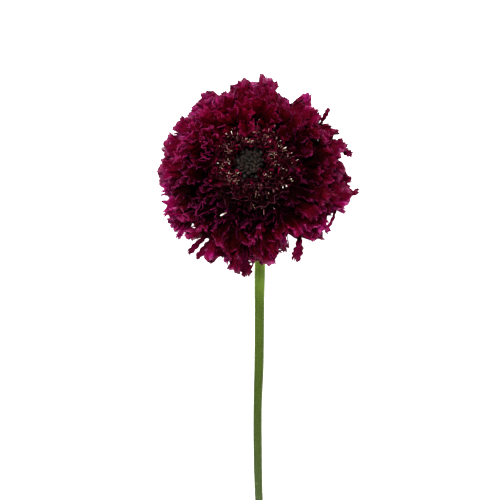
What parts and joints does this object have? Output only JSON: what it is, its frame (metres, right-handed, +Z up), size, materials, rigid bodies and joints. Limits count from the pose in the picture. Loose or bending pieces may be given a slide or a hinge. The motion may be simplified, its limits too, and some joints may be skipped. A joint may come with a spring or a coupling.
{
  "type": "scabiosa flower",
  "caption": "Single cut pincushion flower, dark double form, lying on its back on a surface with its face up and its neck bent.",
  "frame": {"origin": "middle of the flower's footprint, on the surface that it lies on", "axes": "+Z up from the surface, -Y along the stem towards its cut end, +Y towards the bloom, and +X to the right seen from above with the bloom at the top"},
  "size_m": [0.0638, 0.2008, 0.031],
  "materials": {
    "stem_green": "matt green plant stem with fine down",
    "bract_green": "matt green leaf",
    "outer_petal": "velvety dark maroon petal with magenta edges",
    "inner_petal": "velvety very dark red petal",
    "bud": "dull dark olive brown bud"
  },
  "bodies": {
    "root": {"stem": "stem_green", "bracts": "bract_green", "outer_florets": "outer_petal", "inner_florets": "inner_petal", "centre_buds": "bud"}
  },
  "joints": []
}
